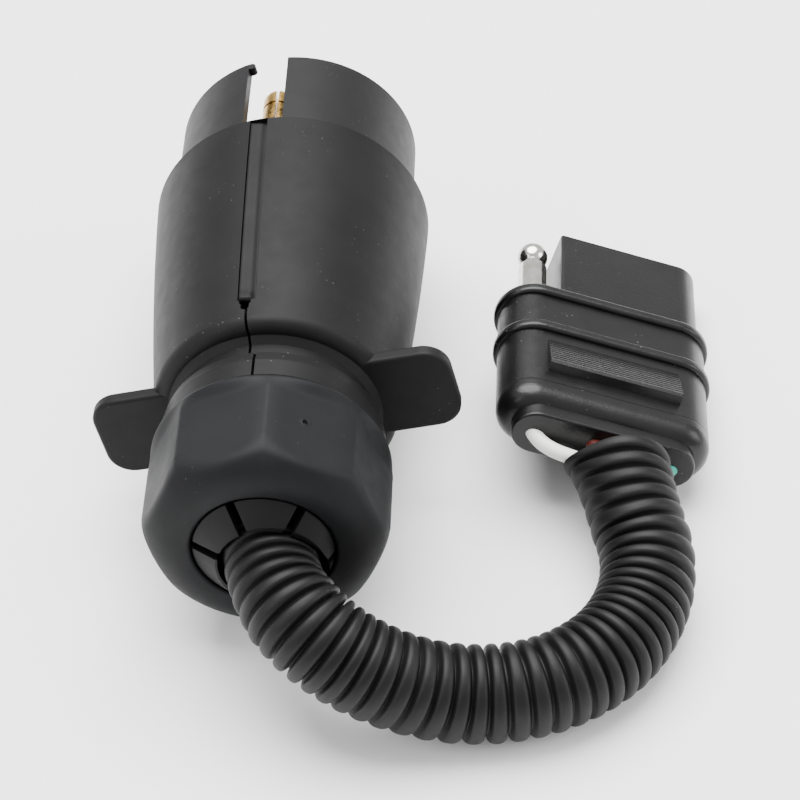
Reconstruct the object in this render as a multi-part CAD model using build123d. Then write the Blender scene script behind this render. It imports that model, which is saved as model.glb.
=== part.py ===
from build123d import *
import math
import os

# Trailer wiring adapter: a round seven-contact plug and a flat four-way connector, joined by four
# wires in a short corrugated conduit. Millimetres. The plug's axis is Y, with the open rim of its
# nose at the origin and +Y pointing out of the nose. The whole thing lies on a flat surface below.

# Plug
plug_roll = -13.6          # the seam side leans this far from straight up, degrees about Y
nose_r = 18.75
nose_bore_r = 16.9
disc_front_y = -20.0
disc_rear_y = -34.0
groove_y = -29.8           # middle of the locating groove round the insert
groove_r = 17.6
groove_half = 1.2
groove_rib_half = 1.0      # half the width of the housing's rib in that groove
keyway_left = 3.35          # the keyway's two edges, either side of the joint line
keyway_right = 3.0
nub_x = -2.95              # small burr on the keyway's left corner
nub_r = 0.65
seat_r = 18.35             # the insert behind the nose, inside the housing
shell_front_y = -18.4
shell_rear_y = -62.0
shell_front_r = 21.3
shell_middle_r = 20.35
shell_rear_r = 18.05
rim_chamfer = 0.25
shoulder_y = -60.0         # the housing's side rounds over into its rear face from here
shoulder_middle = (17.5, -61.35)
shoulder_r = 16.1
pocket_r = 18.45
cavity_r = 16.5
tail_bore_r = 11.2
tail_r = 14.9
tail_end_y = -84.0
neck_r = 14.8
collar_r = 16.4
collar_front_y = -66.0
collar_bevel = (0.35, 1.8)     # less radius at its front, over this length
collar_rear_y = -71.4
edge_break = 0.5           # small chamfers on the housing's turned edges
hinge_end_y = -57.0
seam_x = 0.35              # the joint line behind the hinge
seam_step_y = -65.6        # behind this it steps sideways
seam_step_x = 1.6
seam_gap = 0.4             # the halves stand this far apart behind the hinge
tear_x = 0.1
tear_holes = ((0.9, -57.2), (0.65, -58.2))     # radius and y of the torn notch behind the hinge
hinge_depth = 0.9
hinge_channel = (-1.05, 1.7)
hinge_strip = (-0.8, 1.2)
wing_reach = 27.0
wing_half_height = 7.2
wing_thickness = 2.3
wing_corner_r = 4.0
wing_edge_r = 0.6
gusset_half = 1.0
closing_screw_y = -52.0
closing_screw_z = -13.6
head_boss_r = 4.3          # on the left shell, round the closing screw's sunk head
head_boss_x = (-11.0, 0.0)
thread_boss_r = 3.7
thread_boss_x = (0.0, 9.0)
head_well_r = 3.1
head_well_x = (-28.8, -8.2)
screw_hole_r = 1.6
thread_hole_r = 1.42
thread_hole_end_x = 7.0
screw_head_r = 2.8
screw_head_x = (-10.4, -8.2)
screw_shank_r = 1.4
screw_shank_x = (-8.2, 6.0)
cross_slot = (1.4, 0.8, 3.6)

# Contacts
contact_r = 2.45
contact_circle_r = 12.0
contact_tip_y = -1.3
contact_tip_round = 2.1
ring_y = (-5.7, -5.2)      # turned groove round the contact
ring_depth = 0.22
slit_width = 0.45
slit_end_y = -10.5
slit_turn = 10.0
shank_r = 2.0
barrel_r = 2.8
barrel_end_y = -46.0
crimp_depth = 8.5
terminal_screw_y = -41.0
terminal_screw_r = 1.3
terminal_screw_proud = 0.9
screw_slot_half = 0.25
screw_slot_depth = 0.7
close_fit = 0.02           # radial gap of pieces that hold each other

# Cable clamp
nut_front_y = -71.6
nut_rear_y = -89.5
nut_corner_r = 17.8
nut_collar_r = 17.5
nut_hole_r = 10.27
nut_bore_r = 15.3
nut_turn = 0.8             # a corner of the octagon stands this far from straight up
nut_travel = 2.0           # the cable clamp moves back by one thread pitch per turn
octagon_front_y = -74.0
dome = ((18.0, -84.3), (15.9, -88.0), (11.1, nut_rear_y))
nut_bore_end_y = -85.0
nut_lip_y = -88.7          # the bore's cone ends at this thin lip round the hole
collet_front_y = -78.0
collet_entry_r = 8.6       # wider up to the conduit's end, where the wires fan out
collet_entry_end_y = -81.0
collet_flange_r = 14.6
collet_flange_y = (-85.2, -84.2)
collet_mouth_r = 9.95
collet_mouth_y = -89.2
finger_count = 6
finger_slot = 1.4
finger_slot_y = -81.5
finger_turn = -26.4
finger_tip = (1.2, -91.2, -1.5)     # the fingers close in obliquely round the bent conduit
finger_tip_r = 7.9
grip_gap = 0.17

# Conduit and wires
conduit_r = 7.0
conduit_bore_r = 5.2
wire_r = 1.15
wire_spacing = 1.4         # each wire's distance from the middle of the bundle, two ways
conduit_route = [
    (0.2, -80, -0.8), (0.4, -91.6, -1.4), (6, -101, -3.2), (15.4, -103.9, -9), (27, -103, -14.3),
    (39, -101.4, -14.3), (48.8, -94.8, -14.3), (54, -85.2, -14.3), (55, -75.8, -13.6),
    (52.3, -68, -11.4), (51.35, -60.9, -9.95),
]

# Flat connector, in its own frame: x across the contacts, y out of the mating end, z through it
flat_place = Location((48.7, -30.1, -11.9), (-4.4, 16.8, -0.7))
flat_pitch = 7.6
flat_width = 33.4
flat_thickness = 10.8
rib_width = 34.7
rib_thickness = 12.6
rib_length = 2.0
rib_gap = 9.0
body_rear_y = -26.2
boot_rear_y = -28.3
boot_width = 28.6
boot_thickness = 7.6
wire_straight_y = -24.2    # each wire runs straight into its crimp from here
crimp_r = 1.75
crimp_mouth_y = -17.0
crimp_floor_y = -12.0
wire_end_y = -14.5
wire_bore_r = wire_r + close_fit
shoulder_front_y = -19.5   # the body's rear end is heavily rounded from here
shoulder_start_y = -22.0
body_shoulder_r = 2.9
body_edge_r = 0.4
rib_edge_r = 0.7
boot_front_y = -23.5
boot_edge_r = 0.35
block_length = 18.6
block_left_x = -7.8
block_right_x = 15.9
block_thickness = 7.8
block_edge_r = 0.5
bullet_r = 2.3
bullet_root_r = 2.0        # the bullet's shaft is thinner where it is moulded in
bullet_start_y = 1.0
bullet_end_y = 12.4
bullet_neck_r = 1.5
ball_y = 15.9
ball_r = 2.4
root_rear_y = -8.0
socket_r = 2.2
socket_floor_y = 1.0
sleeve_r = 2.7
sleeve_front_y = 16.4
sleeve_rear_y = -3.0
grip_half_width = 10.5
grip_toe = (-12.0, 5.45)
grip_crest = (-18.6, 7.0)
grip_rear_y = -19.6
grip_groove = 0.26
grip_groove_count = 9
grip_groove_start_y = -12.6
grip_groove_pitch = 0.68


def save(shape, name):
    shape.label = name
    export_step(shape, os.path.join("parts", name + ".step"))


def turned(outline):
    """Solid of revolution about Y from an outline in x, y."""
    return revolve(make_face(outline), Axis.Y, 360)


def rolled(shape):
    """Turn a plug piece drawn with its seam straight up to where it really sits."""
    return Rot(0, plug_roll, 0) * shape


def along_y(radius, front, rear, x=0.0, z=0.0):
    """Round bar along Y from front to rear."""
    bar = Rot(90, 0, 0) * Cylinder(radius, front - rear)
    return Pos(x, (front + rear) / 2, z) * bar


def block(x_range, y_range, z_range):
    size = [high - low for low, high in (x_range, y_range, z_range)]
    middle = [(high + low) / 2 for low, high in (x_range, y_range, z_range)]
    return Pos(*middle) * Box(*size)


def contact_place(index):
    """Centre of contact 0 to 6: six on a circle from the keyway round, then the middle one."""
    if index == 6:
        return 0.0, 0.0, 0.0
    angle = 60.0 * index
    turn = math.radians(angle)
    return contact_circle_r * math.sin(turn), contact_circle_r * math.cos(turn), angle


# ---- Contact insert: nose shroud and insulating disc in one moulding ----

def contact_insert():
    body = turned(Polyline(
        (0, disc_front_y), (nose_bore_r, disc_front_y), (nose_bore_r, -edge_break), (nose_bore_r + 0.4, 0),
        (nose_r, 0), (nose_r, shell_front_y), (seat_r, shell_front_y),
        (seat_r, groove_y + groove_half), (groove_r, groove_y + groove_half),
        (groove_r, groove_y - groove_half), (seat_r, groove_y - groove_half), (seat_r, disc_rear_y),
        (0, disc_rear_y), close=True))
    body -= block((-keyway_left, keyway_right), (shell_front_y, 1), (10, 25))
    body += Pos(nub_x, -nub_r, nose_r - 1.0) * Cylinder(nub_r, 1.4)
    for index in range(7):
        x, z, angle = contact_place(index)
        body -= along_y(shank_r + close_fit, disc_front_y + 1, disc_rear_y - 1, x, z)
    return body


def contact_pin(index):
    x, z, angle = contact_place(index)
    front = along_y(contact_r, contact_tip_y, disc_front_y)
    front = fillet(front.edges().sort_by(Axis.Y)[-1], contact_tip_round)
    ring_rear, ring_front = ring_y
    front -= along_y(contact_r + 1, ring_front, ring_rear) - along_y(contact_r - ring_depth, -5, -6)
    slit = block((-3, 3), (slit_end_y, 0), (-slit_width / 2, slit_width / 2))
    for turn in (slit_turn, slit_turn + 90):
        front -= Rot(0, turn, 0) * slit
    pin = front + along_y(shank_r, disc_front_y, disc_rear_y)
    pin += along_y(barrel_r, disc_rear_y, barrel_end_y)
    pin -= along_y(wire_r + 0.1, barrel_end_y + crimp_depth, barrel_end_y - 1)
    pin -= Pos(0, terminal_screw_y, barrel_r) * Cylinder(terminal_screw_r, barrel_r * 2)
    return Pos(x, 0, z) * (Rot(0, angle, 0) * pin)


def terminal_screw(index):
    x, z, angle = contact_place(index)
    low = wire_r
    high = barrel_r + terminal_screw_proud
    screw = Cylinder(terminal_screw_r - close_fit, high - low)
    screw = Pos(0, terminal_screw_y, (high + low) / 2) * screw
    slot = (terminal_screw_y - screw_slot_half, terminal_screw_y + screw_slot_half)
    screw -= block((-2, 2), slot, (high - screw_slot_depth, high + 1))
    return Pos(x, 0, z) * (Rot(0, angle, 0) * screw)


# ---- Plug housing: two half shells on a film hinge ----

def housing_arc(offset):
    """The housing's gently bulging side, moved in by offset."""
    front = (shell_front_r - offset, shell_front_y - rim_chamfer)
    middle = (shell_middle_r - offset, -35.0)
    rear = (shell_rear_r - offset, shoulder_y)
    return ThreePointArc(front, middle, rear), front, rear


def housing_outside():
    side, front, rear = housing_arc(0)
    rim = Polyline((0, shell_front_y), (shell_front_r - rim_chamfer, shell_front_y), front)
    shoulder = ThreePointArc(rear, shoulder_middle, (shoulder_r, shell_rear_y))
    bevel_drop, bevel_length = collar_bevel
    back = Polyline(
        (shoulder_r, shell_rear_y), (neck_r + 1, shell_rear_y), (neck_r, shell_rear_y - 1),
        (neck_r, collar_front_y + 1), (neck_r + 1, collar_front_y),
        (collar_r - bevel_drop, collar_front_y), (collar_r, collar_front_y - bevel_length),
        (collar_r, collar_rear_y + edge_break), (collar_r - edge_break, collar_rear_y),
        (tail_r, collar_rear_y), (tail_r, tail_end_y + edge_break), (tail_r - edge_break, tail_end_y),
        (0, tail_end_y), (0, shell_front_y))
    return turned(rim + side + shoulder + back)


def housing_inside():
    ridge_r = groove_r + 0.1
    return turned(Polyline(
        (0, 0), (pocket_r, 0), (pocket_r, groove_y + groove_rib_half), (ridge_r, groove_y + groove_rib_half),
        (ridge_r, groove_y - groove_rib_half), (pocket_r, groove_y - groove_rib_half),
        (pocket_r, disc_rear_y - 0.2), (cavity_r, disc_rear_y - 0.2), (cavity_r, -47.0),
        (cavity_r - 1.0, -56.0), (tail_bore_r, -60.5),
        (tail_bore_r, tail_end_y - 1), (0, tail_end_y - 1), close=True))


def hinge_skin(deep, shallow):
    """Thin layer of the housing's side between two depths."""
    outer, front, rear = housing_arc(shallow)
    inner, inner_front, inner_rear = housing_arc(deep)
    outline = outer + Polyline(rear, inner_rear) + inner + Polyline(inner_front, front)
    return turned(outline)


def wing_flange():
    """The two finger wings, one flat plate across the housing's rear."""
    plane = Plane(origin=(0, shell_rear_y + wing_thickness, 0), x_dir=(1, 0, 0), z_dir=(0, -1, 0))
    outline = plane * RectangleRounded(2 * wing_reach, 2 * wing_half_height, wing_corner_r)
    plate = extrude(outline, wing_thickness)
    return fillet(plate.edges().filter_by(Plane.XZ), wing_edge_r)


def wing_gusset(side):
    outline = Polyline(
        (side * 15, -59.0), (side * 23.5, shell_rear_y + wing_thickness + 0.1),
        (side * 18.5, -55.0), (side * 15, -50.0), close=True)
    return extrude(make_face(outline), gusset_half, both=True)


def on_screw_axis(radius, x_range):
    """Round bar along the closing screw's axis, between two x."""
    low, high = x_range
    bar = Rot(0, 90, 0) * Cylinder(radius, high - low)
    return Pos((low + high) / 2, closing_screw_y, closing_screw_z) * bar


def housing():
    body = housing_outside() + wing_flange()
    for side in (-1, 1):
        body += wing_gusset(side)
    bosses = on_screw_axis(head_boss_r, head_boss_x) + on_screw_axis(thread_boss_r, thread_boss_x)
    body -= housing_inside() - (bosses & housing_outside())
    channel = block(hinge_channel, (hinge_end_y, shell_front_y + 1), (10, 25))
    body -= hinge_skin(hinge_depth, -1.0) & channel
    for radius, y in tear_holes:
        body -= Pos(tear_x, y, shell_rear_r) * Cylinder(radius, 3.4)
    gap = seam_gap / 2
    body -= block((seam_x - gap, seam_x + gap), (seam_step_y, hinge_end_y), (10, 25))
    body -= block((seam_x - gap, seam_step_x + gap), (seam_step_y - seam_gap, seam_step_y), (10, 25))
    body -= block((seam_step_x - gap, seam_step_x + gap), (tail_end_y - 1, seam_step_y), (10, 25))
    body -= on_screw_axis(head_well_r, head_well_x)
    body -= on_screw_axis(screw_hole_r, (screw_head_x[1], 0))
    body -= on_screw_axis(thread_hole_r, (0, thread_hole_end_x))
    return body


def left_region():
    """Everything left of the joint line, which steps sideways behind the hinge, on top."""
    region = block((-60, 0), (hinge_end_y, 20), (-60, 60))
    region += block((-60, seam_x), (seam_step_y, hinge_end_y), (0, 60))
    region += block((-60, seam_step_x), (-100, seam_step_y), (0, 60))
    region += block((-60, 0), (-100, hinge_end_y), (-60, 0))
    return region


def film_hinge():
    strip = block(hinge_strip, (hinge_end_y + 1.0, shell_front_y - 0.9), (10, 25))
    return hinge_skin(hinge_depth, 0.3) & strip


def closing_screw():
    screw = on_screw_axis(screw_head_r, screw_head_x) + on_screw_axis(screw_shank_r, screw_shank_x)
    head_face = Pos(screw_head_x[0] + 0.2, closing_screw_y, closing_screw_z)
    for turn in (0, 90):
        screw -= head_face * (Rot(turn, 0, 0) * Box(*cross_slot))
    return screw


# ---- Cable clamp ----

def gland_nut():
    plane = Plane(origin=(0, octagon_front_y, 0), x_dir=(0, 0, 1), z_dir=(0, -1, 0))
    prism = extrude(plane * RegularPolygon(nut_corner_r, 8), octagon_front_y - nut_rear_y)
    round_end = Polyline(
        dome[-1], (0, nut_rear_y), (0, nut_front_y), (dome[0][0], nut_front_y), dome[0])
    nut = prism & turned(ThreePointArc(*dome) + round_end)
    nut += turned(Polyline(
        (0, nut_front_y), (nut_collar_r - edge_break, nut_front_y),
        (nut_collar_r, nut_front_y - edge_break), (nut_collar_r, octagon_front_y + edge_break),
        (nut_collar_r - 0.8, octagon_front_y - edge_break), (0, octagon_front_y - edge_break), close=True))
    nut -= turned(Polyline(
        (0, nut_front_y + 1), (nut_bore_r, nut_front_y + 1), (nut_bore_r, nut_bore_end_y),
        (nut_hole_r + 0.35, nut_lip_y), (nut_hole_r, nut_lip_y), (nut_hole_r, nut_rear_y - 1),
        (0, nut_rear_y - 1), close=True))
    return Rot(0, nut_turn, 0) * nut


def oblique_tips():
    """The fingers' ends, a slanting cone from the collet's mouth to the conduit."""
    mouth = Plane(origin=(0, collet_mouth_y, 0), x_dir=(1, 0, 0), z_dir=(0, -1, 0))
    tip = Plane(origin=finger_tip, x_dir=(1, 0, 0), z_dir=(0, -1, 0))
    return loft([mouth * Circle(collet_mouth_r), tip * Circle(finger_tip_r)])


def clamp_collet():
    flange_rear, flange_front = collet_flange_y
    sleeve = tail_bore_r - 0.3
    ring = turned(Polyline(
        (0, collet_front_y), (sleeve, collet_front_y), (sleeve, flange_front),
        (collet_flange_r, flange_front), (collet_flange_r, flange_rear), (10.0, nut_lip_y),
        (collet_mouth_r, collet_mouth_y), (0, collet_mouth_y), close=True))
    ring += oblique_tips()
    ring -= along_y(collet_entry_r, collet_front_y + 1, collet_entry_end_y)
    for slide in (0.0, nut_travel):
        ring -= Pos(0, slide, 0) * round_bar(cord_path(conduit_route), conduit_r + grip_gap)
    for index in range(finger_count):
        half_slot = finger_slot / 2
        slot = block((-half_slot, half_slot), (-95, finger_slot_y), (0, 20))
        ring -= Rot(0, finger_turn + 360.0 / finger_count * index, 0) * slot
    return ring


# ---- Conduit and wires ----

def bend_radii(points):
    """Largest arc that each corner's two runs allow."""
    radii = []
    for before, corner, after in zip(points, points[1:], points[2:]):
        run_in = Vector(*corner) - Vector(*before)
        run_out = Vector(*after) - Vector(*corner)
        half_turn = math.radians(run_in.get_angle(run_out)) / 2
        radii.append(0.45 * min(run_in.length, run_out.length) / math.tan(half_turn))
    return radii


def cord_path(points):
    return FilletPolyline(*points, radius=bend_radii(points))


def round_bar(path, radius):
    start = Plane(origin=path @ 0, z_dir=path % 0)
    return sweep(start * Circle(radius), path=path)


def swept(points, radius, bore=0.0, name=""):
    path = cord_path(points)
    tube = round_bar(path, radius)
    area = math.pi * radius ** 2
    if bore:
        tube -= round_bar(path, bore)
        area -= math.pi * bore ** 2
    radii = [round(value, 1) for value in bend_radii(points)]
    print(name, "length", round(path.length, 1), "radii", radii)
    print(name, "volume over section times length", round(tube.volume / (area * path.length), 4))
    return tube


def bundle_points(side_offset, up_offset):
    """The conduit's route moved sideways and up, in the frame that follows it."""
    points = []
    last = len(conduit_route) - 1
    for index, place in enumerate(conduit_route):
        ahead = Vector(*conduit_route[min(index + 1, last)])
        behind = Vector(*conduit_route[max(index - 1, 0)])
        heading = (ahead - behind).normalized()
        side = heading.cross(Vector(0, 0, 1)).normalized()
        up = side.cross(heading).normalized()
        points.append(tuple(Vector(*place) + side * side_offset + up * up_offset))
    return points


def contact_point(index, y):
    """A point on the line of one contact, turned with the plug."""
    x, z, angle = contact_place(index)
    turn = math.radians(plug_roll)
    return x * math.cos(turn) + z * math.sin(turn), y, z * math.cos(turn) - x * math.sin(turn)


def flat_point(x, y, z):
    return tuple((flat_place * Pos(x, y, z)).position)


def wire_route(contact, side_offset, up_offset, fan):
    """From a contact's barrel, through the conduit, to a terminal in the flat connector."""
    inside = bundle_points(side_offset, up_offset)
    entry = (inside[0][0], -70.0, inside[0][2])
    start = [contact_point(contact, -39.0), contact_point(contact, -50.5)]
    return start + [entry] + inside[1:] + [flat_point(*point) for point in fan]


terminal_x = [flat_pitch * (index - 1.5) for index in range(4)]


def into_terminal(index):
    """The last, straight stretch of a wire, inside the boot and into its crimp."""
    return [(terminal_x[index], wire_straight_y, 0), (terminal_x[index], wire_end_y, 0)]


wires = {
    "wire_white": wire_route(2, -wire_spacing, -wire_spacing, [
        (-3.2, -30.5, -1.0), (-8.6, -30.1, -0.8), (terminal_x[0] - 0.2, -27.4, -0.2)] + into_terminal(0)),
    "wire_brown": wire_route(1, -wire_spacing, wire_spacing, [
        (-1.2, -29.0, 0.8)] + into_terminal(1)),
    "wire_yellow": wire_route(5, wire_spacing, wire_spacing, [
        (3.7, -28.6, 1.0)] + into_terminal(2)),
    "wire_green": wire_route(4, wire_spacing, -wire_spacing, [
        (6.4, -27.6, -0.7), (10.8, -26.6, -0.2)] + into_terminal(3)),
}


# ---- Flat connector ----

def stadium(width, thickness, front, rear):
    plane = Plane(origin=(0, front, 0), x_dir=(1, 0, 0), z_dir=(0, -1, 0))
    return extrude(plane * SlotOverall(width, thickness), front - rear)


def rounded_stadium(width, thickness, front, rear, radius):
    solid = stadium(width, thickness, front, rear)
    return fillet(solid.edges().filter_by(Plane.XZ), radius)


def bullet_terminal():
    x = terminal_x[0]
    terminal = along_y(bullet_r, bullet_end_y, bullet_start_y) + along_y(bullet_neck_r, ball_y, bullet_end_y)
    terminal += Pos(0, ball_y, 0) * Sphere(ball_r)
    terminal += along_y(bullet_root_r, bullet_start_y, root_rear_y)
    terminal += along_y(crimp_r, root_rear_y, crimp_mouth_y)
    terminal -= along_y(wire_bore_r, crimp_floor_y, crimp_mouth_y - 1)
    return Pos(x, 0, 0) * terminal


def socket_terminal(x):
    sleeve = along_y(sleeve_r, sleeve_front_y, sleeve_rear_y)
    sleeve -= along_y(socket_r, block_length, socket_floor_y)
    sleeve += along_y(crimp_r, sleeve_rear_y, crimp_mouth_y)
    sleeve -= along_y(wire_bore_r, crimp_floor_y, crimp_mouth_y - 1)
    return Pos(x, 0, 0) * sleeve


def grip():
    """Thumb ledge across the flat face, with fine ribs over its slope."""
    toe_y, toe_z = grip_toe
    crest_y, crest_z = grip_crest
    root_z = toe_z - 0.45
    profile = Polyline((0, toe_y + 0.4, root_z), (0, toe_y, toe_z), (0, crest_y, crest_z),
                       (0, crest_y - 0.5, crest_z - 0.2), (0, grip_rear_y, root_z), close=True)
    ledge = extrude(make_face(profile), grip_half_width, both=True, dir=(1, 0, 0))
    slope = (crest_z - toe_z) / (toe_y - crest_y)
    for index in range(grip_groove_count):
        y = grip_groove_start_y - grip_groove_pitch * index
        z = toe_z + slope * (toe_y - y)
        ledge -= Pos(0, y, z) * (Rot(45, 0, 0) * Box(30, grip_groove, grip_groove))
    return ledge


def flat_body(terminals):
    """The soft moulding, cast round the terminals and the wires."""
    half = rib_length / 2
    body = rounded_stadium(flat_width, flat_thickness, half, body_rear_y, body_edge_r)
    body &= stadium(rib_width, rib_thickness, half + 1, shoulder_start_y)
    body += rounded_stadium(flat_width, flat_thickness, shoulder_front_y, body_rear_y, body_shoulder_r)
    for y in (0, -rib_gap):
        body += rounded_stadium(rib_width, rib_thickness, y + half, y - half, rib_edge_r)
    body += rounded_stadium(boot_width, boot_thickness, boot_front_y, boot_rear_y, boot_edge_r)
    half_block = block_thickness / 2
    nose = block((block_left_x, block_right_x - half_block), (-0.5, block_length), (-half_block, half_block))
    nose = fillet(nose.faces().sort_by(Axis.X)[0].edges().filter_by(Axis.Y), block_edge_r)
    nose += along_y(half_block, block_length, -0.5, block_right_x - half_block)
    body += nose
    body += grip()
    body += Rot(0, 180, 0) * grip()
    for terminal in terminals:
        body -= terminal
    for x in terminal_x:
        body -= along_y(wire_bore_r, crimp_floor_y, crimp_mouth_y, x)
    for x in terminal_x[1:]:
        body -= along_y(socket_r, block_length + 1, socket_floor_y, x)
    body = flat_place * body
    for route in wires.values():
        body -= round_bar(cord_path(route), wire_bore_r)
    return body


# ---- Build and write every piece ----

save(rolled(contact_insert()), "contact_insert")
for number in range(7):
    save(rolled(contact_pin(number)), "contact_pin_" + str(number + 1))
save(Compound(children=[rolled(terminal_screw(number)) for number in range(7)]), "terminal_screws")

plug_housing = housing()
left = left_region()
save(rolled(plug_housing & left), "shell_left")
save(rolled(plug_housing - left), "shell_right")
save(rolled(film_hinge()), "film_hinge")
save(rolled(closing_screw()), "closing_screw")
save(clamp_collet(), "clamp_collet")
save(gland_nut(), "gland_nut")

save(swept(conduit_route, conduit_r, conduit_bore_r, "conduit"), "conduit")
for wire_name, route in wires.items():
    save(swept(route, wire_r, 0.0, wire_name), wire_name)

bullet = bullet_terminal()
sockets = [socket_terminal(x) for x in terminal_x[1:]]
save(flat_body([bullet] + sockets), "flat_connector_body")
save(flat_place * bullet, "bullet_terminal")
for number, terminal in enumerate(sockets):
    save(flat_place * terminal, "socket_terminal_" + str(number + 1))
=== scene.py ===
import math

import bpy
import numpy as np
from mathutils import Matrix, Vector


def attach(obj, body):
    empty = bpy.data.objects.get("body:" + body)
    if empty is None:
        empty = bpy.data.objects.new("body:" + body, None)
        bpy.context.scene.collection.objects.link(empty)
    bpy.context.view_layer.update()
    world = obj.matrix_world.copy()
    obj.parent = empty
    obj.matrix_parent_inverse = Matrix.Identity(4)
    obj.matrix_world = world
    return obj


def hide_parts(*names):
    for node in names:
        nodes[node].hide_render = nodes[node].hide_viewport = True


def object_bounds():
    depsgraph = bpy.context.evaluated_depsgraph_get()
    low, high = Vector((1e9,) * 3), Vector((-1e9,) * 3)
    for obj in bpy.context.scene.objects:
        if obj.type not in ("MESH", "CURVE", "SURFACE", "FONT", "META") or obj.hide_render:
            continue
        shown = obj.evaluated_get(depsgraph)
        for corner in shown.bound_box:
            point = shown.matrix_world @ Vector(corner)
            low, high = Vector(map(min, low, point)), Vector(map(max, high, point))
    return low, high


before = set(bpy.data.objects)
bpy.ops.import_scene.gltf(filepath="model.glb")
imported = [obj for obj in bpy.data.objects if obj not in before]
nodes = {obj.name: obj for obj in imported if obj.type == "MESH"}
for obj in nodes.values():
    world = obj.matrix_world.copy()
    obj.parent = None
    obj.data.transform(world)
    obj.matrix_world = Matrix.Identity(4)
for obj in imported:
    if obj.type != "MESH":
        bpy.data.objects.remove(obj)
cad_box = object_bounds()

MM = 0.001
scene = bpy.context.scene

# ---- Driving dimensions, in millimetres unless a comment says otherwise ----

# Round plug: its axis is Y and its nose rim is at y = 0
PLUG_ROLL = math.radians(-13.6)
SHELL_FRONT_Y = -18.4
CONTACT_CIRCLE_R = 12.0
CONTACT_STEP = 60  # degrees between neighbouring contacts
HOUSING_SIDE = [(21.3, -18.65), (20.35, -35.0), (18.05, -60.0)]  # radius and y on the side's arc

# Film hinge: a bead in the channel between the half shells
HINGE_END_Y = -57.0
HINGE_FRONT_GAP = 0.9
HINGE_REAR_GAP = 0.3
HINGE_DEPTH = 0.88
HINGE_ROWS = 110
# across the channel, and how far below the housing's surface the bead lies there
HINGE_BEAD = [
    (-1.04, -0.55), (-0.99, -0.40), (-0.92, -0.12), (-0.78, -0.04), (-0.5, -0.13), (0.1, -0.22),
    (0.6, -0.28), (0.95, -0.42), (1.2, -0.62), (1.42, -0.70), (1.6, -0.60), (1.68, -0.50),
]
HINGE_LOOSE = (-0.9, 1.0)  # the part of the bead that wavers, across the channel
HINGE_WAVER = 0.06
HINGE_WAVER_ROWS = 15  # rows that the waver is averaged over
HINGE_TEAR_Y = -54.5
HINGE_TEAR_RUN = 2
HINGE_TEAR_LIFT = 0.25

# Gland nut
NUT_FRONT_Y = -71.6
NUT_REAR_Y = -89.5
NUT_CORNERS = 8
NUT_CORNER_R = 17.8
NUT_CORNER_TRIM = 0.05
NUT_COLLAR_R = 17.4
NUT_HOLE_R = 10.27
NUT_BORE_R = 15.3
NUT_TURN = math.radians(0.8)
NUT_BLEND = 0.8
NUT_DOME = [(18.0, -84.3), (15.9, -88.0), (11.1, -89.5)]  # radius and y on the dome's arc
# radius and setback behind the front face, from the bore outwards
NUT_FRONT_EDGE = [
    (NUT_BORE_R, 0.5), (NUT_BORE_R + 0.3, 0.1), (NUT_BORE_R + 0.5, 0), (NUT_COLLAR_R - 0.75, 0),
    (NUT_COLLAR_R - 0.5, 0.08), (NUT_COLLAR_R - 0.15, 0.35),
]
# radius and y, from the rear face through the hole into the bore
NUT_REAR_EDGE = [
    (10.75, NUT_REAR_Y), (10.45, NUT_REAR_Y + 0.12), (NUT_HOLE_R, NUT_REAR_Y + 0.35), (NUT_HOLE_R, -88.8),
    (10.6, -88.65), (NUT_BORE_R - 0.1, -85.1), (NUT_BORE_R, -84.9),
]
NUT_SIDE_SETBACK = 0.7
NUT_SHOULDER = (0.5, 2.4)  # setback where the collar turns into the octagon, and over what length
# one small moulding pit, with a faint raised rim
PIT_TURN = math.radians(20.1)
PIT_Y = -79.5
PIT_BAND = (-78.8, -80.2)
PIT_SPREAD = 2.2  # degrees of finer mesh on each side
PIT_R = 0.5
PIT_WALL = 0.3
PIT_DEPTH = 0.45
PIT_RIM_R = 0.6
PIT_RIM_WIDTH = 0.12
PIT_RIM_HEIGHT = 0.05

# Conduit: a corrugated tube, slit lengthwise
CONDUIT_R = 7.0
CONDUIT_VALLEY_R = 5.7
CONDUIT_INNER_R = 5.1
CONDUIT_ROUTE = [
    (0.2, -80, -0.8), (0.4, -91.6, -1.4), (6, -101, -3.2), (15.4, -103.9, -9), (27, -103, -14.3),
    (39, -101.4, -14.3), (48.8, -94.8, -14.3), (54, -85.2, -14.3), (55, -75.8, -13.6),
    (52.3, -68, -11.4), (51.35, -60.9, -9.95),
]
CONDUIT_SAMPLES = 1000
CONDUIT_COLUMNS = 80
# how far apart the ridges stand at stations along the conduit: it is squeezed and stretched
RIDGE_PITCH = [
    (0, 2.0), (27, 2.0), (42, 3.2), (56, 2.5), (74, 2.0), (80, 2.1), (89, 3.1), (97, 2.6), (106, 2.4),
]
RIDGE_ROWS = 14
RIDGE_SHARE = 0.84  # share of a pitch that the ridge takes up
RIDGE_DIP = 0.08
PITCH_STEPS = 2000
PITCH_WINDOW = 121  # steps that the pitch is averaged over
# the clamp's fingers press the ridges in a little, as far as their tips reach
CLAMP_PRESS = 0.32
CLAMP_REACH = 15.5
CLAMP_FADE = 4
SLIT_TURN = math.radians(235)  # underneath, on the inside of the bend
SLIT_HALF_GAP = 0.2
# the last ridges are pulled out to a point round the wire that leaves at the inner side
PULL_TURN = math.radians(172)
PULL_WIDTH = 0.50
PULL_REACH = 8.0
PULL_POWER = 1.5
PULL_OUT = 2.3
PULL_FORWARD = 0.3
TOP_FORWARD = 0.9
TOP_TURN = 0.35
BUNCH_FORWARD = 1.5
BUNCH_REACH = 5

# Wires
WIRE_R = 1.15
WIRE_SPACING = 1.4
WIRE_SAMPLES = 320
WIRE_COLUMNS = 20
WIRE_START_Y = -39.0
WIRE_GATHER_Y = -50.5
WIRE_ENTRY_Y = -70

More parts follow.
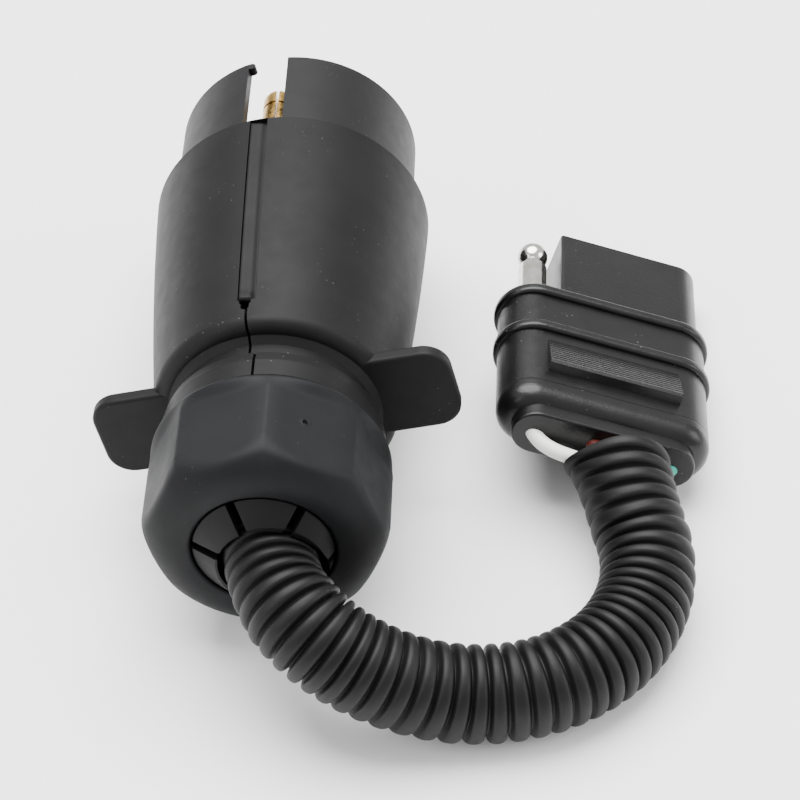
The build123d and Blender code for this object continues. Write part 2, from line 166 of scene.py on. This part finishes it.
# Flat connector's own frame: x across the contacts, y out of the mating end, z through it
FLAT_ORIGIN = Vector((48.7, -30.1, -11.9))
FLAT_ANGLES = (-4.4, 16.8, -0.7)  # degrees about X, Y and Z
FLAT_PITCH = 7.6
FLAT_BOOT_Y = -24.2
FLAT_CRIMP_Y = -14.5
TERMINAL_X = [FLAT_PITCH * (index - 1.5) for index in range(4)]
FLAT_MATRIX = Matrix.Identity(3)
for axis_name, angle in zip("XYZ", FLAT_ANGLES):
    FLAT_MATRIX = FLAT_MATRIX @ Matrix.Rotation(math.radians(angle), 3, axis_name)

# ---- Camera, light and floor ----

CAMERA_PLACE = (27.64, -363.2, 288.47)
CAMERA_DOWN = 43.40  # degrees below level
CAMERA_TURN = 1.80
CAMERA_SENSOR = 36.0
CAMERA_LENS = 128.43
FLOOR_HALF = 3.0  # metres
FLOOR_COLOUR = (0.93, 0.93, 0.93, 1)
FLOOR_ROUGHNESS = 0.75
LIGHT_TARGET = (0.02, -0.05, 0.0)
# name, place in metres, disc's diameter in metres, watts
LIGHTS = [
    ("overhead", (-0.05, 0.20, 0.85), 1.0, 30.0),
    ("front_left", (-0.6, -0.45, 0.5), 0.5, 2.5),
    ("right_side", (0.7, -0.1, 0.35), 0.45, 3.0),
]


def make_camera():
    data = bpy.data.cameras.new("camera")
    data.sensor_width = CAMERA_SENSOR
    data.lens = CAMERA_LENS
    camera = bpy.data.objects.new("camera", data)
    camera.location = Vector(CAMERA_PLACE) * MM
    camera.rotation_euler = (math.radians(90 - CAMERA_DOWN), 0, math.radians(CAMERA_TURN))
    scene.collection.objects.link(camera)
    scene.camera = camera


def area_light(name, place, size, watts):
    data = bpy.data.lights.new(name, "AREA")
    data.shape = "DISK"
    data.size = size
    data.energy = watts
    light = bpy.data.objects.new(name, data)
    light.location = place
    aim = Vector(LIGHT_TARGET) - Vector(place)
    light.rotation_euler = aim.to_track_quat("-Z", "Y").to_euler()
    scene.collection.objects.link(light)


def make_floor():
    low = cad_box[0][2]
    corners = [(x * FLOOR_HALF, y * FLOOR_HALF, low) for x, y in ((-1, -1), (1, -1), (1, 1), (-1, 1))]
    mesh = bpy.data.meshes.new("floor")
    mesh.from_pydata(corners, [], [(0, 1, 2, 3)])
    floor = bpy.data.objects.new("floor", mesh)
    scene.collection.objects.link(floor)
    material = bpy.data.materials.new("pale_floor")
    material.use_nodes = True
    shader = material.node_tree.nodes["Principled BSDF"]
    shader.inputs["Base Color"].default_value = FLOOR_COLOUR
    shader.inputs["Roughness"].default_value = FLOOR_ROUGHNESS
    mesh.materials.append(material)


def make_studio():
    make_floor()
    world = bpy.data.worlds.new("studio")
    world.use_nodes = True
    background = world.node_tree.nodes["Background"]
    background.inputs["Color"].default_value = (1, 1, 1, 1)
    background.inputs["Strength"].default_value = 1.0
    scene.world = world
    for light in LIGHTS:
        area_light(*light)


make_camera()
make_studio()


# ---- Materials ----

# cycles per metre
MOTTLE_SCALE = 90
PATCH_SCALE = 140
SPECK_SCALE = 950
GLOSS_SCALE = 400
WAVE_SCALE = 260
GRAIN_SCALE = 2600
# metres
WAVE_HEIGHT = 0.000008
GRAIN_HEIGHT = 0.000014
METAL_HEIGHT = 0.000012
INSULATION_HEIGHT = 0.00001

SPECK_SIZE = 0.11
SPECK_COLOUR = (0.25, 0.25, 0.24)
# sockets of the Mix node that hold colours
MIX_FIRST, MIX_SECOND, MIX_RESULT = 6, 7, 2


class Nodes:
    """Small wrapper that keeps node building short."""

    def __init__(self, name):
        self.material = bpy.data.materials.new(name)
        self.material.use_nodes = True
        self.tree = self.material.node_tree
        self.shader = self.tree.nodes["Principled BSDF"]
        self.place = self.tree.nodes.new("ShaderNodeTexCoord").outputs["Object"]

    def link(self, output, target):
        self.tree.links.new(output, target)

    def noise(self, scale, detail=2.0, rough=0.5):
        node = self.tree.nodes.new("ShaderNodeTexNoise")
        node.inputs["Scale"].default_value = scale
        node.inputs["Detail"].default_value = detail
        node.inputs["Roughness"].default_value = rough
        self.link(self.place, node.inputs["Vector"])
        return node.outputs["Fac"]

    def spots(self, scale, size):
        """1 inside small scattered specks, 0 elsewhere."""
        node = self.tree.nodes.new("ShaderNodeTexVoronoi")
        node.inputs["Scale"].default_value = scale
        self.link(self.place, node.inputs["Vector"])
        return self.ramp(node.outputs["Distance"], size, size * 0.5, 0.0, 1.0)

    def ramp(self, value, low, high, low_out, high_out):
        node = self.tree.nodes.new("ShaderNodeMapRange")
        node.inputs["From Min"].default_value = low
        node.inputs["From Max"].default_value = high
        node.inputs["To Min"].default_value = low_out
        node.inputs["To Max"].default_value = high_out
        self.link(value, node.inputs["Value"])
        return node.outputs["Result"]

    def multiply(self, first, second):
        node = self.tree.nodes.new("ShaderNodeMath")
        node.operation = "MULTIPLY"
        for socket, value in zip(node.inputs, (first, second)):
            if isinstance(value, (int, float)):
                socket.default_value = value
            else:
                self.link(value, socket)
        return node.outputs["Value"]

    def mix(self, factor, first, second):
        node = self.tree.nodes.new("ShaderNodeMix")
        node.data_type = "RGBA"
        self.link(factor, node.inputs["Factor"])
        for socket, value in ((node.inputs[MIX_FIRST], first), (node.inputs[MIX_SECOND], second)):
            if isinstance(value, tuple):
                socket.default_value = (*value, 1)
            else:
                self.link(value, socket)
        return node.outputs[MIX_RESULT]

    def colour(self, mottle, low, high, dark, light):
        """Two tones that follow a noise between these levels."""
        return self.mix(self.ramp(mottle, low, high, 0, 1), dark, light)

    def roughness(self, drift, smooth, rough):
        self.link(self.ramp(drift, 0.3, 0.7, smooth, rough), self.shader.inputs["Roughness"])

    def bump(self, height, depth, below=None):
        node = self.tree.nodes.new("ShaderNodeBump")
        node.inputs["Strength"].default_value = 1.0
        node.inputs["Distance"].default_value = depth
        self.link(height, node.inputs["Height"])
        if below is not None:
            self.link(below, node.inputs["Normal"])
        self.link(node.outputs["Normal"], self.shader.inputs["Normal"])
        return node.outputs["Normal"]


def moulded_plastic(name, dark, light, rough, grain, specks=0.0, gloss=0.3):
    """Injection-moulded black plastic: fine grain, faint flow mottling, a few pale specks."""
    n = Nodes(name)
    n.shader.inputs["Specular IOR Level"].default_value = gloss
    colour = n.colour(n.noise(MOTTLE_SCALE, 4, 0.6), 0.3, 0.7, dark, light)
    if specks:
        patch = n.ramp(n.noise(PATCH_SCALE), 0.52, 0.66, 0, 1)
        scattered = n.multiply(n.spots(SPECK_SCALE, SPECK_SIZE), patch)
        colour = n.mix(n.multiply(scattered, specks), colour, SPECK_COLOUR)
    n.link(colour, n.shader.inputs["Base Color"])
    n.roughness(n.noise(GLOSS_SCALE, 3), rough - 0.03, rough + 0.03)
    wave = n.bump(n.noise(WAVE_SCALE), WAVE_HEIGHT * grain)
    n.bump(n.noise(GRAIN_SCALE), GRAIN_HEIGHT * grain, below=wave)
    return n.material


def metal(name, dark, light, rough):
    """Turned metal that is dulled in faint patches."""
    n = Nodes(name)
    n.link(n.colour(n.noise(500, 4), 0.35, 0.7, dark, light), n.shader.inputs["Base Color"])
    n.shader.inputs["Metallic"].default_value = 1.0
    n.roughness(n.noise(900, 3), rough * 0.7, rough * 1.4)
    n.bump(n.noise(1800, 3), METAL_HEIGHT)
    return n.material


def insulation(name, dark, light, rough=0.32):
    """Extruded PVC wire insulation with a faintly uneven tone."""
    n = Nodes(name)
    n.link(n.colour(n.noise(220, 3), 0.3, 0.7, dark, light), n.shader.inputs["Base Color"])
    n.roughness(n.noise(600), rough - 0.05, rough + 0.08)
    n.bump(n.noise(900), INSULATION_HEIGHT)
    return n.material


housing_plastic = moulded_plastic(
    "housing_plastic", (0.004, 0.004, 0.004), (0.0065, 0.0065, 0.0067), 0.52, 1.0, 0.3, gloss=0.13)
nut_plastic = moulded_plastic(
    "nut_plastic", (0.004, 0.0042, 0.0048), (0.006, 0.0063, 0.0072), 0.54, 0.7, 0.2, gloss=0.14)
insert_plastic = moulded_plastic(
    "insert_plastic", (0.005, 0.005, 0.0052), (0.008, 0.008, 0.0088), 0.52, 0.8, 0.2, gloss=0.17)
clamp_plastic = moulded_plastic(
    "clamp_plastic", (0.003, 0.003, 0.003), (0.005, 0.005, 0.005), 0.50, 0.5, gloss=0.15)
conduit_plastic = moulded_plastic(
    "conduit_plastic", (0.0025, 0.0025, 0.0025), (0.004, 0.004, 0.004), 0.50, 0.8, 0.15, gloss=0.2)
soft_plastic = moulded_plastic(
    "soft_plastic", (0.002, 0.002, 0.002), (0.004, 0.004, 0.004), 0.32, 1.7, 0.7, gloss=0.34)
brass = metal("brass", (0.36, 0.21, 0.05), (0.58, 0.38, 0.12), 0.26)
nickel = metal("nickel", (0.60, 0.58, 0.53), (0.78, 0.77, 0.74), 0.16)
screw_steel = metal("screw_steel", (0.45, 0.45, 0.43), (0.62, 0.62, 0.60), 0.3)
wire_pvc = {
    "white": insulation("white_pvc", (0.84, 0.82, 0.80), (0.92, 0.90, 0.88)),
    "brown": insulation("brown_pvc", (0.05, 0.006, 0.004), (0.09, 0.013, 0.008)),
    "yellow": insulation("yellow_pvc", (0.70, 0.44, 0.02), (0.85, 0.58, 0.04)),
    "green": insulation("green_pvc", (0.0, 0.20, 0.15), (0.0, 0.30, 0.22), 0.45),
}


# ---- Mesh helpers ----

def mesh_piece(name, points, faces, material, body, replaced):
    """A smooth mesh that rides on a body and stands in for one CAD node."""
    mesh = bpy.data.meshes.new(name)
    mesh.from_pydata([tuple(p) for p in points], [], [tuple(int(i) for i in f) for f in faces])
    mesh.validate()
    mesh.polygons.foreach_set("use_smooth", [True] * len(mesh.polygons))
    mesh.materials.append(material)
    piece = bpy.data.objects.new(name, mesh)
    scene.collection.objects.link(piece)
    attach(piece, body)
    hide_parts(replaced)
    return piece


def closed_grid(rows, columns, wrap_rows=False):
    """Faces of a grid of points that closes on itself round each row, and over the rows if asked."""
    faces = []
    for row in range(rows if wrap_rows else rows - 1):
        after = (row + 1) % rows
        for column in range(columns):
            beside = (column + 1) % columns
            faces.append((row * columns + column, row * columns + beside,
                          after * columns + beside, after * columns + column))
    return faces


def smooth_line(points, samples):
    """Evenly spaced points along the NURBS curve with these control points, and its length, in metres."""
    curve = bpy.data.curves.new("route", "CURVE")
    curve.dimensions = "3D"
    spline = curve.splines.new("NURBS")
    spline.points.add(len(points) - 1)
    for point, place in zip(spline.points, points):
        point.co = (*(Vector(place) * MM), 1)
    spline.order_u = 3
    spline.use_endpoint_u = True
    spline.resolution_u = 24
    holder = bpy.data.objects.new("route", curve)
    scene.collection.objects.link(holder)
    bpy.context.view_layer.update()
    mesh = bpy.data.meshes.new_from_object(holder.evaluated_get(bpy.context.evaluated_depsgraph_get()))
    line = np.array([vertex.co[:] for vertex in mesh.vertices])
    bpy.data.objects.remove(holder)
    bpy.data.curves.remove(curve)
    bpy.data.meshes.remove(mesh)
    along = np.concatenate([[0], np.cumsum(np.linalg.norm(np.diff(line, axis=0), axis=1))])
    wanted = np.linspace(0, along[-1], samples)
    return np.stack([np.interp(wanted, along, line[:, i]) for i in range(3)], 1), along[-1]


def frames_along(line):
    """Heading, outward side and up directions at each point; side stays level."""
    heading = np.gradient(line, axis=0)
    heading /= np.linalg.norm(heading, axis=1)[:, None]
    side = np.cross(heading, [0, 0, 1])
    side /= np.linalg.norm(side, axis=1)[:, None]
    return heading, side, np.cross(side, heading)


def ring_at(centre, side, up, turn, radius):
    """Points at these turns and this radius, in mm, round a centre in metres."""
    return (centre + (np.cos(turn) * radius * MM)[:, None] * side
            + (np.sin(turn) * radius * MM)[:, None] * up)


def soft_min(first, second, blend):
    """The smaller of two radii, rounded over where they meet."""
    share = np.clip(0.5 + 0.5 * (second - first) / blend, 0, 1)
    return second * (1 - share) + first * share - blend * share * (1 - share)


def smooth_step(value):
    value = np.clip(value, 0, 1)
    return value * value * (3 - 2 * value)


def circle_arc(first, middle, last, steps):
    """Points along the arc through three points in a plane."""
    (ax, ay), (bx, by), (cx, cy) = first, middle, last
    twice = 2 * (ax * (by - cy) + bx * (cy - ay) + cx * (ay - by))
    a2, b2, c2 = ax * ax + ay * ay, bx * bx + by * by, cx * cx + cy * cy
    x = (a2 * (by - cy) + b2 * (cy - ay) + c2 * (ay - by)) / twice
    y = (a2 * (cx - bx) + b2 * (ax - cx) + c2 * (bx - ax)) / twice
    radius = math.hypot(ax - x, ay - y)
    start = math.atan2(ay - y, ax - x)
    end = math.atan2(cy - y, cx - x)
    if end - start > math.pi:
        end -= 2 * math.pi
    if start - end > math.pi:
        end += 2 * math.pi
    turns = np.linspace(start, end, steps)
    return np.stack([x + radius * np.cos(turns), y + radius * np.sin(turns)], 1)


# ---- Conduit ----

def ridge(phase):
    """0 in a valley to 1 on the crown of a ridge, over one pitch."""
    from_crown = np.clip(np.abs(2 * phase - 1) / RIDGE_SHARE, 0, 1)
    return np.cbrt(1 - from_crown ** 3) * (1 - RIDGE_DIP * from_crown ** 2)


def ridge_count(length):
    """Distances in mm along the conduit, and how many ridges have gone by at each."""
    stations, pitches = zip(*RIDGE_PITCH)
    travelled = np.linspace(0, length, PITCH_STEPS)
    pitch = np.interp(travelled, stations, pitches)
    padded = np.pad(pitch, PITCH_WINDOW // 2, mode="edge")
    pitch = np.convolve(padded, np.ones(PITCH_WINDOW) / PITCH_WINDOW, mode="valid")
    return travelled, np.concatenate([[0], np.cumsum(np.diff(travelled) / pitch[:-1])])


def split_end_cap(base, around):
    """Faces that join the outer and the inner wall of the slit tube at one of its ends."""
    return [(base + column, base + column + 1, base + around - 2 - column, base + around - 1 - column)
            for column in range(CONDUIT_COLUMNS - 1)]


def make_conduit():
    line, length = smooth_line(CONDUIT_ROUTE, CONDUIT_SAMPLES)
    distances, count = ridge_count(length / MM)
    rows = int(count[-1] * RIDGE_ROWS)
    phase = np.linspace(0, count[-1], rows)
    travelled = np.interp(phase, count, distances)
    at = travelled * MM / length * (CONDUIT_SAMPLES - 1)
    centre = np.stack([np.interp(at, np.arange(CONDUIT_SAMPLES), line[:, i]) for i in range(3)], 1)
    heading, side, up = frames_along(centre)
    pressed = CLAMP_PRESS * (1 - smooth_step((travelled - CLAMP_REACH) / CLAMP_FADE))
    outer = CONDUIT_VALLEY_R + (CONDUIT_R - CONDUIT_VALLEY_R) * ridge(phase % 1) - pressed
    slit = SLIT_HALF_GAP / CONDUIT_R
    turn = np.linspace(SLIT_TURN + slit, SLIT_TURN + 2 * math.pi - slit, CONDUIT_COLUMNS)
    from_pull = np.angle(np.exp(1j * (turn - PULL_TURN)))
    pull = np.exp(-(from_pull / PULL_WIDTH) ** 2)
    top = np.clip(np.sin(turn - TOP_TURN), 0, 1)
    to_end = length / MM - travelled
    bunched = BUNCH_FORWARD * to_end / BUNCH_REACH * np.exp(1 - to_end / BUNCH_REACH)
    points = []
    for row in range(rows):
        near_end = max(0.0, 1 - to_end[row] / PULL_REACH) ** PULL_POWER
        forward = (near_end * (TOP_FORWARD * top * (1 - pull) + PULL_FORWARD * pull)
                   + bunched[row] * np.sqrt(pull))
        for radius, order in ((outer[row], 1), (CONDUIT_INNER_R, -1)):
            spread = radius + PULL_OUT * near_end * pull
            ring = (ring_at(centre[row], side[row], up[row], turn, spread)
                    + (forward * MM)[:, None] * heading[row])
            points.extend(ring[::order])
    around = 2 * CONDUIT_COLUMNS
    faces = closed_grid(rows, around) + split_end_cap(0, around)
    faces += [cap[::-1] for cap in split_end_cap((rows - 1) * around, around)]
    faces = [face[::-1] for face in faces]
    piece = mesh_piece("conduit_tube", points, faces, conduit_plastic, "root", "conduit")
    return piece, line, length


# ---- Gland nut ----

def make_nut():
    even = np.linspace(0, 2 * math.pi, 385)[:-1]
    fine = PIT_TURN + np.radians(np.linspace(-PIT_SPREAD, PIT_SPREAD, 31))
    turn = np.sort(np.concatenate([even, fine]))

    def circle(radius):
        return np.full(len(turn), radius)

    step = 2 * math.pi / NUT_CORNERS
    apothem = NUT_CORNER_R * math.cos(step / 2)
    beside = np.mod(turn - NUT_TURN, step) - step / 2
    octagon = soft_min(apothem / np.cos(beside), circle(NUT_CORNER_R - NUT_CORNER_TRIM), NUT_BLEND)
    side_y = np.concatenate([
        np.linspace(NUT_FRONT_Y - NUT_SIDE_SETBACK, PIT_BAND[0], 26),
        np.linspace(*PIT_BAND, 21)[1:],
        np.linspace(PIT_BAND[1], NUT_DOME[0][1], 14)[1:]])

    rows = [(circle(radius), NUT_FRONT_Y - setback) for radius, setback in NUT_FRONT_EDGE]
    for y in side_y:
        body = smooth_step((NUT_FRONT_Y - NUT_SHOULDER[0] - y) / NUT_SHOULDER[1])
        rows.append((NUT_COLLAR_R * (1 - body) + octagon * body, y))
    for radius, y in circle_arc(*NUT_DOME, 46)[1:]:
        rows.append((soft_min(octagon, circle(radius), NUT_BLEND), y))
    rows += [(circle(radius), y) for radius, y in NUT_REAR_EDGE]

    points = []
    for radius, y in rows:
        out = radius.copy()
        if abs(y - PIT_Y) < 2 * PIT_R:
            away = np.hypot((turn - PIT_TURN) * NUT_CORNER_R, y - PIT_Y)
            rim = PIT_RIM_HEIGHT * np.exp(-((away - PIT_RIM_R) / PIT_RIM_WIDTH) ** 2)
            out = out - PIT_DEPTH * smooth_step((PIT_R - away) / PIT_WALL) + rim
        points.extend(np.stack([out * np.sin(turn), circle(y), out * np.cos(turn)], 1) * MM)
    faces = [face[::-1] for face in closed_grid(len(rows), len(turn), True)]
    mesh_piece("gland_nut_moulding", points, faces, nut_plastic, "gland_nut", "gland_nut")


# ---- Film hinge ----

def make_film_hinge():
    across, height = np.array(HINGE_BEAD).T
    loose = (across > HINGE_LOOSE[0]) & (across < HINGE_LOOSE[1])
    side = circle_arc(*HOUSING_SIDE, 400)
    ys = np.linspace(SHELL_FRONT_Y - HINGE_FRONT_GAP, HINGE_END_Y + HINGE_REAR_GAP, HINGE_ROWS)
    radii = np.interp(-ys, -side[:, 1], side[:, 0])
    rng = np.random.default_rng(7)
    draws = rng.normal(0, 1, len(ys) + HINGE_WAVER_ROWS - 1)
    waver = np.convolve(draws, np.ones(HINGE_WAVER_ROWS) / HINGE_WAVER_ROWS, mode="valid")
    points = []
    for row, (y, radius) in enumerate(zip(ys, radii)):
        drift = HINGE_WAVER * waver[row]
        torn = smooth_step((HINGE_TEAR_Y - y) / HINGE_TEAR_RUN)
        lift = np.where(loose, HINGE_TEAR_LIFT * torn, 0)
        top = np.stack([across + np.where(loose, drift, 0), radius + height + lift], 1)
        under = np.stack([across[::-1], np.full(len(across), radius - HINGE_DEPTH)], 1)
        for x, from_axis in np.concatenate([top, under]):
            z = math.sqrt(from_axis ** 2 - x ** 2)
            points.append(Vector((x * math.cos(PLUG_ROLL) + z * math.sin(PLUG_ROLL), y,
                                  z * math.cos(PLUG_ROLL) - x * math.sin(PLUG_ROLL))) * MM)
    around = 2 * len(across)
    faces = closed_grid(len(ys), around)
    faces.append(tuple(range(around))[::-1])
    faces.append(tuple(range(len(points) - around, len(points))))
    mesh_piece("film_hinge_bead", points, faces, housing_plastic, "root", "film_hinge")


# ---- Wires ----

def flat_point(x, y, z):
    return FLAT_ORIGIN + FLAT_MATRIX @ Vector((x, y, z))


def bundle_points(side_offset, up_offset):
    """The conduit's route, moved sideways and up to one wire's place in the bundle."""
    points = []
    last = len(CONDUIT_ROUTE) - 1
    for index, place in enumerate(CONDUIT_ROUTE):
        ahead = Vector(CONDUIT_ROUTE[min(index + 1, last)])
        behind = Vector(CONDUIT_ROUTE[max(index - 1, 0)])
        heading = (ahead - behind).normalized()
        side = heading.cross(Vector((0, 0, 1))).normalized()
        up = side.cross(heading).normalized()
        points.append(Vector(place) + side * side_offset + up * up_offset)
    return points


def contact_point(index, y):
    turn = math.radians(CONTACT_STEP * index) + PLUG_ROLL
    return Vector((CONTACT_CIRCLE_R * math.sin(turn), y, CONTACT_CIRCLE_R * math.cos(turn)))


def make_wire(colour, contact, side_offset, up_offset, fan, terminal):
    """One wire from a contact, through the conduit, to a terminal of the flat connector."""
    inside = bundle_points(side_offset, up_offset)
    entry = Vector((inside[0].x, WIRE_ENTRY_Y, inside[0].z))
    route = [contact_point(contact, WIRE_START_Y), contact_point(contact, WIRE_GATHER_Y), entry]
    route += inside[1:]
    route += [flat_point(*place) for place in fan]
    route += [flat_point(TERMINAL_X[terminal], y, 0) for y in (FLAT_BOOT_Y, FLAT_CRIMP_Y)]
    line, _ = smooth_line(route, WIRE_SAMPLES)
    _, side, up = frames_along(line)
    turn = np.linspace(0, 2 * math.pi, WIRE_COLUMNS, endpoint=False)
    points = []
    for row in range(len(line)):
        points.extend(ring_at(line[row], side[row], up[row], turn, WIRE_R))
    faces = [face[::-1] for face in closed_grid(len(line), WIRE_COLUMNS)]
    faces.append(tuple(range(WIRE_COLUMNS)))
    faces.append(tuple(range(len(points) - 1, len(points) - WIRE_COLUMNS - 1, -1)))
    return mesh_piece("insulated_wire_" + colour, points, faces, wire_pvc[colour], "root",
                      "wire_" + colour)


conduit, conduit_line, conduit_length = make_conduit()
make_nut()
make_film_hinge()
# colour, contact, place in the bundle, bend behind the boot, terminal
wires = [make_wire(*wire) for wire in (
    ("white", 2, -WIRE_SPACING, -WIRE_SPACING,
     [(-3.2, -30.5, -1.0), (-8.6, -30.1, -0.8), (TERMINAL_X[0] - 0.2, -27.4, -0.2)], 0),
    ("brown", 1, -WIRE_SPACING, WIRE_SPACING, [(-1.2, -29.0, 0.8)], 1),
    ("yellow", 5, WIRE_SPACING, WIRE_SPACING, [(3.7, -28.6, 1.0)], 2),
    ("green", 4, WIRE_SPACING, -WIRE_SPACING, [(6.2, -28.7, -0.9), (11.2, -28.6, -0.4)], 3),
)]

# ---- Materials of the CAD nodes ----

finishes = {
    "contact_insert": insert_plastic, "shell_left": housing_plastic, "shell_right": housing_plastic,
    "film_hinge": housing_plastic, "gland_nut": nut_plastic, "clamp_collet": clamp_plastic,
    "terminal_screws": screw_steel, "closing_screw": screw_steel, "flat_connector_body": soft_plastic,
    "bullet_terminal": nickel, "conduit": conduit_plastic,
}
for index in range(3):
    finishes["socket_terminal_" + str(index + 1)] = nickel
for index in range(7):
    finishes["contact_pin_" + str(index + 1)] = brass
for colour, material in wire_pvc.items():
    finishes["wire_" + colour] = material
for name, material in finishes.items():
    for place in nodes[name].material_slots:
        place.material = material
